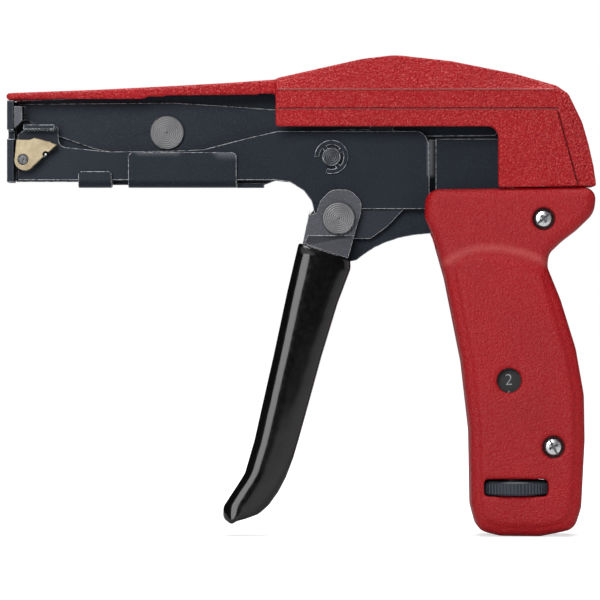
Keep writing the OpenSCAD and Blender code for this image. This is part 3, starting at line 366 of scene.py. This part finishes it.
matt = {"cloudScale": 120.0, "grainScale": 3000.0, "bump": (0.4, 0.00004)}


def mattFinish(name, colour, light, gloss):
    s = Shader(name)
    grain = s.noise(matt["grainScale"], 2.0)
    s.tint(s.noise(matt["cloudScale"]), colour, light)
    s.roughen(grain, gloss, 0.05, 0.1)
    s.bump(grain, *matt["bump"])
    return s.material


# Creases of the mouldings, each with its points, width, rise and share of tint, the tint being a painted highlight
# along raised ones and painted shade in sunk ones; the arch above the palm is soft, with a painted highlight along
# it
shellCreases = [([(-0.0065, 0.12298), (0.0738, 0.12298)], 0.0003, -1.6, 0.4),
                ([(0.0738, 0.12191), (0.0795, 0.10109)], 0.0003, -1.6, 0.4),
                ([(-0.0065, 0.12845), (0.0725, 0.12845)], 0.00035, 1.2, 0.4)]
arch = [(0.0415, 0.0788), (0.0433, 0.0801), (0.04686, 0.08185), (0.0497, 0.0826), (0.05207, 0.08289),
        (0.0555, 0.0829), (0.05898, 0.08254), (0.0628, 0.0818), (0.06595, 0.08078), (0.0683, 0.0797),
        (0.0703, 0.07854)]
archCreaseHighlight = [(arch, 0.0018, 0.01, 0.2)]
# Screw bores of the grips, painted dark as shadow: middle and reach
screwBoreShadows = [((0.06958, 0.09129), 0.00335), ((0.07234, 0.02583), 0.00335)]
# Bends of the plates, with a painted highlight along them: points, width, share and the depth up to which they show
tabBendHighlights = [([(-0.0465, 0.1113), (-0.036, 0.1113)], 0.0022, 0.3, -0.0001),
            ([(-0.023, 0.1115), (0.012, 0.1115)], 0.0036, 0.36, -0.0001)]
stepBendHighlights = [([(0.0376, 0.1045), (0.0376, 0.122)], 0.0016, 0.9, 0.0041)]
blues = ((0.008, 0.011, 0.017), (0.017, 0.022, 0.031), 0.4, 0.35)
look = {
    "shell": redMoulding("redShell", 0.00072, 0.0006, (0.72, 0.001, 0.01), (0.62, 0.001, 0.009), 0.4, 0.34,
                         shellCreases),
    "grip": redMoulding("redGrip", 0.00055, 0.00022, (0.64, 0.001, 0.009), (0.55, 0.001, 0.008), 0.42, 0.12,
                        archCreaseHighlight, screwBoreShadows),
    "plate": plateSteel("blueSteel", *blues),
    "frame": plateSteel("frameSteel", *blues, tabBendHighlights),
    "carriage": plateSteel("carriageSteel", *blues, stepBendHighlights),
    # Edge finishes: worn bare steel with a painted highlight
    "edge": wornEdge("blueSteelWornLitEdge", (0.06, 0.07, 0.085), (0.5, 0.51, 0.53)),
    "lever": plateSteel("leverSteel", (0.018, 0.021, 0.029), (0.03, 0.034, 0.045), 0.4, 0.4),
    "ear": plateSteel("earSteel", (0.06, 0.062, 0.073), (0.085, 0.087, 0.1), 0.4, 0.4),
    "earWornLitEdge": wornEdge("earSteelWornLitEdge", (0.14, 0.14, 0.155), (0.52, 0.52, 0.54)),
    "pawl": brightMetal("yellowZinc", (0.27, 0.215, 0.125), (0.4, 0.33, 0.21), 0.42, 0.5),
    "zinc": brightMetal("brightZinc", (0.62, 0.63, 0.65), (0.78, 0.79, 0.8), 0.24),
    "recessShade": brightMetal("zincRecessShade", (0.1, 0.1, 0.11), (0.2, 0.2, 0.21), 0.4),
    "pin": brightMetal("pinSteel", (0.18, 0.18, 0.19), (0.27, 0.27, 0.28), 0.36),
    "wire": brightMetal("springSteel", (0.32, 0.32, 0.34), (0.45, 0.45, 0.47), 0.3),
    "brass": brightMetal("nutBrass", (0.5, 0.38, 0.18), (0.62, 0.5, 0.27), 0.3),
    "sleeve": dippedVinyl("dippedVinyl"),
    "wheel": mattFinish("wheelBlued", (0.022, 0.03, 0.042), (0.036, 0.047, 0.062), 0.42),
    "scale": mattFinish("scalePlastic", (0.006, 0.007, 0.009), (0.012, 0.013, 0.016), 0.45),
    "ink": mattFinish("scaleNumbers", (0.34, 0.37, 0.38), (0.46, 0.49, 0.5), 0.5),
}
print("stage: materials")

# Edges of steel pieces are softened, and the softened part gets a finish of its own: worn, and painted light as a
# highlight
softened = {"plate": 0.00017, "pin": 0.00025, "small": 0.0001, "angle": 35, "segments": 2, "weld": 0.000004}


def softenEdges(obj, width):
    bevel = obj.modifiers.new("soften", "BEVEL")
    bevel.width = width
    bevel.segments = softened["segments"]
    bevel.limit_method = "ANGLE"
    bevel.angle_limit = math.radians(softened["angle"])
    bevel.harden_normals = True
    bevel.use_clamp_overlap = False
    if len(obj.data.materials) > 1:
        bevel.material = 1


# Pieces that keep their solids: the second material, where there is one, is that of the softened edges
def dress(node, *materials, edge=None):
    obj = nodes[node]
    obj.data.materials.clear()
    for material in materials:
        obj.data.materials.append(look[material] if isinstance(material, str) else material)
    weld = obj.modifiers.new("weld", "WELD")
    weld.merge_threshold = softened["weld"]
    if edge:
        softenEdges(obj, softened[edge])


def middleOf(node):
    low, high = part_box(node)
    return ((low.x + high.x) / 2, (low.z + high.z) / 2)


for node in ("frame", "nose_plate", "carriage", "cut_lever", "tension_lever", "e_clip"):
    dress(node, node if node in look else "plate", "edge", edge="plate")
guideLook = turnedSteel("guidePinSteel", middleOf("guide_pin"), (0.03, 0.034, 0.042), (0.05, 0.055, 0.065), 0.36)
dress("guide_pin", guideLook, "edge", edge="plate")
dress("cutter_blade", "ear", "earWornLitEdge", edge="small")
dress("gripper_pawl", "pawl", edge="small")
for node in ("pawl_pin", "trigger_pivot", "cut_lever_rivet"):
    rivetLook = turnedSteel(node + "Steel", middleOf(node), (0.14, 0.14, 0.146), (0.2, 0.2, 0.206), 0.42)
    dress(node, rivetLook, "ear", edge="pin")
for node in ("cover_rivets", "spring_post", "tension_lever_pin", "fulcrum_pin", "thrust_cap", "tension_rod",
             "spring_seat"):
    dress(node, "pin", edge="small")
for node in ("pawl_spring", "return_spring", "tension_spring"):
    dress(node, "wire")
dress("tension_nut", "brass", edge="small")
dress("tension_scale", "scale", edge="small")
print("stage: steel pieces")


def link(name, mesh):
    obj = bpy.data.objects.new(name, mesh)
    scene.collection.objects.link(obj)
    return obj


# A welded copy of a solid, which can be reshaped
def solidCopy(name, node):
    mesh = nodes[node].data.copy()
    mesh.name = name
    build = bmesh.new()
    build.from_mesh(mesh)
    bmesh.ops.remove_doubles(build, verts=build.verts, dist=softened["weld"])
    build.to_mesh(mesh)
    build.free()
    return link(name, mesh)


# Whatever lies behind the plane goes, and the cut is closed
def cutOff(build, point, normal):
    cut = bmesh.ops.bisect_plane(build, geom=build.verts[:] + build.edges[:] + build.faces[:], dist=0.000001,
                                 plane_co=point, plane_no=normal, clear_inner=True)
    bmesh.ops.holes_fill(build, edges=[e for e in cut["geom_cut"] if isinstance(e, bmesh.types.BMEdge)])


def evaluated(obj):
    bpy.context.view_layer.update()
    return bpy.data.meshes.new_from_object(obj.evaluated_get(bpy.context.evaluated_depsgraph_get()))


def bake(obj):
    done = evaluated(obj)
    obj.modifiers.clear()
    old = obj.data
    obj.data = done
    bpy.data.meshes.remove(old)
    done.name = obj.name


def standFor(obj, node, slotName, *materials):
    obj.data.materials.clear()
    for material in materials:
        obj.data.materials.append(look[material])
    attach(obj, bodyOf[node])
    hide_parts(node)
    print("  made", obj.name, len(obj.data.polygons), "faces")


# Moulded pieces: remeshed and smoothed, so that their steps and edges run soft
def moulded(name, node, slotName, material, voxel, rounds, reshape=None):
    obj = solidCopy(name, node)
    remesh = obj.modifiers.new("remesh", "REMESH")
    remesh.mode = "VOXEL"
    remesh.voxel_size = voxel
    if reshape:
        bake(obj)
        reshape(obj.data)
    smooth = obj.modifiers.new("smooth", "SMOOTH")
    smooth.factor = 0.5
    smooth.iterations = rounds
    bake(obj)
    obj.data.shade_smooth()
    standFor(obj, node, slotName, material)


# The dipped sleeve bulges: at each level its sides sink towards the front edge, and a little towards the rear one
sleeveBow = {"level": 0.0015, "middle": -0.0017, "front": 0.5, "frontPower": 2.2, "rear": 0.2, "rearPower": 5.0,
             "narrowest": 0.001}


def bowSleeve(mesh):
    levels = {}
    for vertex in mesh.vertices:
        key = round(vertex.co.z / sleeveBow["level"])
        low, high = levels.get(key, (1.0, -1.0))
        levels[key] = (min(low, vertex.co.x), max(high, vertex.co.x))
    keys = sorted(levels)

    def spanAt(z):
        place = z / sleeveBow["level"]
        below = min(max(math.floor(place), keys[0]), keys[-1])
        above = min(below + 1, keys[-1])
        share = min(max(place - below, 0.0), 1.0)
        return [levels[below][k] * (1 - share) + levels[above][k] * share for k in (0, 1)]

    middle = sleeveBow["middle"]
    for vertex in mesh.vertices:
        low, high = spanAt(vertex.co.z)
        across = 2 * (vertex.co.x - low) / max(high - low, sleeveBow["narrowest"]) - 1
        if across < 0:
            sink = sleeveBow["front"] * (1 - math.sqrt(max(0.0, 1 - abs(across) ** sleeveBow["frontPower"])))
        else:
            sink = sleeveBow["rear"] * across ** sleeveBow["rearPower"]
        vertex.co.y = middle + (vertex.co.y - middle) * (1 - sink)


# Voxel and rounds of smoothing
mouldedSizes = {"grip": (0.00055, 4), "cover": (0.0005, 2), "sleeve": (0.0004, 8)}
moulded("grip_near_shell", "grip_near", "red_grip", "grip", *mouldedSizes["grip"])
moulded("grip_far_shell", "grip_far", "red_grip", "grip", *mouldedSizes["grip"])
moulded("top_cover_shell", "top_cover", "red_shell", "shell", *mouldedSizes["cover"])
moulded("trigger_grip_sleeve", "trigger_grip", "black_dip", "sleeve", *mouldedSizes["sleeve"], bowSleeve)
print("stage: moulded pieces")

# The trigger's steel ends a little below the mouth of the sleeve, which covers the rest; its far side is darker
leverTrim = {"point": (0.00115, 0.0, 0.0815), "normal": (0.3, 0.0, 0.954), "edge": 0.00012, "farSide": 0.001}


def makeTriggerSteel():
    obj = solidCopy("trigger_steel", "trigger_lever")
    build = bmesh.new()
    build.from_mesh(obj.data)
    cutOff(build, leverTrim["point"], leverTrim["normal"])
    build.to_mesh(obj.data)
    build.free()
    standFor(obj, "trigger_lever", "ear_steel", "ear", "earWornLitEdge", "lever")
    for face in obj.data.polygons:
        if face.center.y > leverTrim["farSide"]:
            face.material_index = 2
    softenEdges(obj, leverTrim["edge"])


makeTriggerSteel()
print("stage: trigger steel")


# Turned shapes: each ring of a profile has its reach from the axis and its height along it, and placeOf sets a point
def latheInto(build, profile, steps, placeOf):
    rings = []
    for reach, height in profile:
        rings.append([build.verts.new(placeOf(reach * math.cos(2 * math.pi * k / steps),
                                              reach * math.sin(2 * math.pi * k / steps), height))
                      for k in range(steps if reach else 1)])
    for a, b in zip(rings, rings[1:]):
        for k in range(steps):
            m = (k + 1) % steps
            build.faces.new(list(dict.fromkeys([a[k % len(a)], a[m % len(a)], b[m % len(b)], b[k % len(b)]])))
    bmesh.ops.recalc_face_normals(build, faces=build.faces)


def meshObject(name, build):
    mesh = bpy.data.meshes.new(name)
    build.to_mesh(mesh)
    build.free()
    return link(name, mesh)


# A Geometry Nodes tree that sets a shape on the points of a line or ring; both builders below end it alike
def newTree(name, inputs):
    tree = bpy.data.node_groups.new(name, "GeometryNodeTree")
    sockets = {}
    for label, kind in inputs.items():
        socket = tree.interface.new_socket(label, in_out="INPUT", socket_type="NodeSocket" + kind)
        sockets[label] = socket.identifier
    tree.interface.new_socket("Geometry", in_out="OUTPUT", socket_type="NodeSocketGeometry")
    return tree, sockets, tree.nodes.new("NodeGroupInput").outputs


def endTree(tree, given, spread):
    real = tree.nodes.new("GeometryNodeRealizeInstances")
    finish = tree.nodes.new("GeometryNodeSetMaterial")
    made = tree.nodes.new("NodeGroupOutput")
    tree.links.new(spread.outputs["Instances"], real.inputs["Geometry"])
    tree.links.new(real.outputs["Geometry"], finish.inputs["Geometry"])
    tree.links.new(given["Finish"], finish.inputs["Material"])
    tree.links.new(finish.outputs["Geometry"], made.inputs[0])


def grow(obj, tree, sockets, sizes):
    modifier = obj.modifiers.new(tree.name, "NODES")
    modifier.node_group = tree
    for name, value in sizes.items():
        modifier[sockets[name]] = value
    bake(obj)


# Grip screws: one head with its cross and long slot, set at both places by Geometry Nodes
screw = {"dome": 0.00025, "rim": 0.0003, "slotWide": 0.00075, "slotDeep": 0.0006, "armWide": 0.0009,
         "armLong": 0.0034, "armDeep": 0.0013, "taper": 0.55, "under": 0.0015, "stub": 0.0024, "stubWide": 0.0011,
         "steps": 48, "turns": (-38, 62), "between": 0.06, "overlap": 0.0002,
         "floorDepth": 0.00035, "floorReach": 0.95, "floorSlack": 0.0001}


def cutBlock(name, long, wide, deep):
    build = bmesh.new()
    bmesh.ops.create_cube(build, size=1.0)
    for vertex in build.verts:
        taper = screw["taper"] if vertex.co.y > 0 else 1.0
        vertex.co = (vertex.co.x * long * taper, vertex.co.y * 2 * deep, vertex.co.z * wide * taper)
    return meshObject(name, build)


def placesTree():
    tree, sockets, given = newTree("headPlaces", {"Head": "Geometry", "Heads": "Int", "Start": "Vector",
                                                  "Step": "Vector", "First turn": "Float", "Turn step": "Float",
                                                  "Finish": "Material"})
    line = tree.nodes.new("GeometryNodeMeshLine")
    spread = tree.nodes.new("GeometryNodeInstanceOnPoints")
    index = tree.nodes.new("GeometryNodeInputIndex")
    times = tree.nodes.new("ShaderNodeMath")
    times.operation = "MULTIPLY_ADD"
    turn = tree.nodes.new("ShaderNodeCombineXYZ")
    for a, b in ((given["Heads"], line.inputs["Count"]), (given["Start"], line.inputs["Start Location"]),
                 (given["Step"], line.inputs["Offset"]), (line.outputs["Mesh"], spread.inputs["Points"]),
                 (given["Head"], spread.inputs["Instance"]), (index.outputs[0], times.inputs[0]),
                 (given["Turn step"], times.inputs[1]), (given["First turn"], times.inputs[2]),
                 (times.outputs[0], turn.inputs["Y"]), (turn.outputs[0], spread.inputs["Rotation"])):
        tree.links.new(a, b)
    endTree(tree, given, spread)
    return tree, sockets


def makeScrews():
    places = []
    for upper in (True, False):
        points = [v.co for v in nodes["grip_screws"].data.vertices if (v.co.z > screw["between"]) == upper]
        spans = [(min(p[k] for p in points), max(p[k] for p in points)) for k in range(3)]
        places.append(Vector(((spans[0][0] + spans[0][1]) / 2, spans[1][0], (spans[2][0] + spans[2][1]) / 2)))
    radius = (spans[0][1] - spans[0][0]) / 2
    build = bmesh.new()
    latheInto(build, [(0, 0), (radius * 0.5, screw["dome"] * 0.2), (radius * 0.86, screw["dome"]),
                      (radius, screw["dome"] + screw["rim"]), (radius, screw["under"]),
                      (screw["stubWide"], screw["under"]), (screw["stubWide"], screw["stub"]), (0, screw["stub"])],
              screw["steps"], lambda x, z, y: (x, y, z))
    head = meshObject("screw_heads", build)
    cutters = [cutBlock("longSlot", radius * 4, screw["slotWide"], screw["slotDeep"]),
               cutBlock("crossAlong", screw["armLong"], screw["armWide"], screw["armDeep"]),
               cutBlock("crossOver", screw["armWide"], screw["armLong"], screw["armDeep"])]
    for cutter in cutters:
        cut = head.modifiers.new("cut", "BOOLEAN")
        cut.operation = "DIFFERENCE"
        cut.solver = "EXACT"
        cut.object = cutter
    bake(head)
    for cutter in cutters:
        bpy.data.objects.remove(cutter)
    turns = [math.radians(turn) for turn in screw["turns"]]
    grow(head, *placesTree(), {"Heads": 2, "Start": places[0], "Step": places[1] - places[0],
                               "First turn": turns[0], "Turn step": turns[1] - turns[0], "Finish": look["zinc"]})
    return places, radius, head


# The heads stand for the node; the shanks ride along unseen, and the floors of the cross and slot take a dark zinc
# as painted shade
def dressScrews():
    places, radius, head = makeScrews()
    shanks = solidCopy("screw_shanks", "grip_screws")
    build = bmesh.new()
    build.from_mesh(shanks.data)
    cutOff(build, (0, max(place.y for place in places) + screw["stub"] - screw["overlap"], 0), (0, 1, 0))
    build.to_mesh(shanks.data)
    build.free()
    standFor(head, "grip_screws", "bright_zinc", "zinc", "recessShade")
    for face in head.data.polygons:
        place = min(places, key=lambda p: (p - face.center).length)
        depth = face.center.y - place.y
        reach = math.hypot(face.center.x - place.x, face.center.z - place.z)
        # Painted shade: faces at the floors of the cross and slot take the dark zinc
        if (screw["floorDepth"] < depth < screw["armDeep"] + screw["floorSlack"]
                and reach < radius * screw["floorReach"]):
            face.material_index = 1
    shanks.data.materials.clear()
    shanks.data.materials.append(look["zinc"])
    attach(shanks, bodyOf["grip_screws"])


dressScrews()
print("stage: screws")

# Thumbwheel: a turned body whose ribs are set round it by Geometry Nodes
wheel = {"ribs": 72, "rib": 0.00034, "ribSides": 8, "groove": 0.00042, "hub": 0.004, "rim": 0.0005, "dish": 0.0007,
         "dishOuter": 0.86, "dishInner": 0.8, "steps": 96, "rimShare": 0.98}


def ribTree():
    tree, sockets, given = newTree("wheelRibs", {"Ribs": "Int", "Radius": "Float", "Rib radius": "Float",
                                                 "Height": "Float", "Finish": "Material"})
    ring = tree.nodes.new("GeometryNodeMeshCircle")
    rib = tree.nodes.new("GeometryNodeMeshCylinder")
    rib.inputs["Vertices"].default_value = wheel["ribSides"]
    spread = tree.nodes.new("GeometryNodeInstanceOnPoints")
    for a, b in ((given["Ribs"], ring.inputs["Vertices"]), (given["Radius"], ring.inputs["Radius"]),
                 (given["Rib radius"], rib.inputs["Radius"]), (given["Height"], rib.inputs["Depth"]),
                 (ring.outputs["Mesh"], spread.inputs["Points"]), (rib.outputs["Mesh"], spread.inputs["Instance"])):
        tree.links.new(a, b)
    endTree(tree, given, spread)
    return tree, sockets


def wheelFaces(radius, middle):
    rim = [v.co.z for v in nodes["thumbwheel"].data.vertices
           if math.hypot(v.co.x - middle.x, v.co.y - middle.y) > radius * wheel["rimShare"]]
    return min(rim), max(rim)


def makeThumbwheel():
    low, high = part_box("thumbwheel")
    radius = (high.x - low.x) / 2
    middle = Vector(((low.x + high.x) / 2, (low.y + high.y) / 2, 0))
    lowFace, topFace = wheelFaces(radius, middle)
    ribs = link("thumbwheel_ribs", bpy.data.meshes.new("ribs"))
    grow(ribs, *ribTree(), {"Ribs": wheel["ribs"], "Radius": radius - wheel["rib"], "Rib radius": wheel["rib"],
                            "Height": topFace - lowFace - 2 * wheel["rim"], "Finish": look["wheel"]})
    ribs.data.transform(Matrix.Translation((middle.x, middle.y, (lowFace + topFace) / 2)))
    build = bmesh.new()
    build.from_mesh(ribs.data)
    core = radius - wheel["groove"]
    dish = topFace - wheel["dish"]
    profile = [(0, lowFace), (core - wheel["rim"], lowFace), (core, lowFace + wheel["rim"]),
               (core, topFace - wheel["rim"]), (core - wheel["rim"], topFace), (core * wheel["dishOuter"], topFace),
               (core * wheel["dishInner"], dish), (wheel["hub"], dish), (wheel["hub"], high.z), (0, high.z)]
    latheInto(build, profile, wheel["steps"], lambda x, y, z: (middle.x + x, middle.y + y, z))
    build.to_mesh(ribs.data)
    build.free()
    standFor(ribs, "thumbwheel", "wheel_steel", "wheel")


makeThumbwheel()
print("stage: thumbwheel")

# Numbers on the scale, drawn as flat shapes just proud of the strip; number 2 shows at rest
numbers = {"tall": 0.0034, "capShare": 0.73, "apart": 0.00475, "first": 1, "last": 8, "rest": 2, "windowZ": 0.04493,
           "proud": 0.00004, "thin": -0.018}


def drawNumbers():
    low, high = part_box("tension_scale")
    joined = bmesh.new()
    for value in range(numbers["first"], numbers["last"] + 1):
        curve = bpy.data.curves.new("digit", "FONT")
        curve.body = str(value)
        curve.size = numbers["tall"] / numbers["capShare"]
        curve.offset = numbers["thin"] * curve.size
        curve.align_x = "CENTER"
        curve.align_y = "CENTER"
        text = link("digit", curve)
        text.rotation_euler = (math.radians(90), 0, 0)
        text.location = ((low.x + high.x) / 2, low.y - numbers["proud"],
                         numbers["windowZ"] + (value - numbers["rest"]) * numbers["apart"])
        shape = evaluated(text)
        shape.transform(text.matrix_world)
        joined.from_mesh(shape)
        bpy.data.objects.remove(text)
        bpy.data.curves.remove(curve)
        bpy.data.meshes.remove(shape)
    obj = meshObject("scale_numbers", joined)
    obj.data.materials.append(look["ink"])
    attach(obj, bodyOf["tension_scale"])


drawNumbers()
print("stage: numbers")

# Floor: it takes a faint shadow under the tool, and glows to plain white round it where the camera looks
ground = {"reach": 4, "white": 0.55, "rough": 0.9, "fade": (0.09, 0.16), "glow": (0.66, 1.0)}
corners = [(x * ground["reach"], y * ground["reach"], 0) for x, y in ((-1, -1), (1, -1), (1, 1), (-1, 1))]
floorMesh = bpy.data.meshes.new("floor")
floorMesh.from_pydata(corners, [], [(0, 1, 2, 3)])
floor = link("floor", floorMesh)
floorLook = Shader("floorWhite")
floorLook.fix(Base_Color=(*grey(ground["white"]), 1), Roughness=ground["rough"], Specular_IOR_Level=0.0,
              Emission_Color=(1, 1, 1, 1))
away = floorLook.add("ShaderNodeVectorMath", {"operation": "LENGTH"})
floorLook.join(floorLook.place, away.inputs[0])
glow = floorLook.ramp(away.outputs["Value"],
                      *((reach, grey(share)) for reach, share in zip(ground["fade"], ground["glow"])))
seen = floorLook.add("ShaderNodeLightPath").outputs["Is Camera Ray"]
floorLook.give(floorLook.bsdf.inputs["Emission Strength"], floorLook.sums("MULTIPLY", seen, glow))
floorMesh.materials.append(floorLook.material)
print("stage: floor")
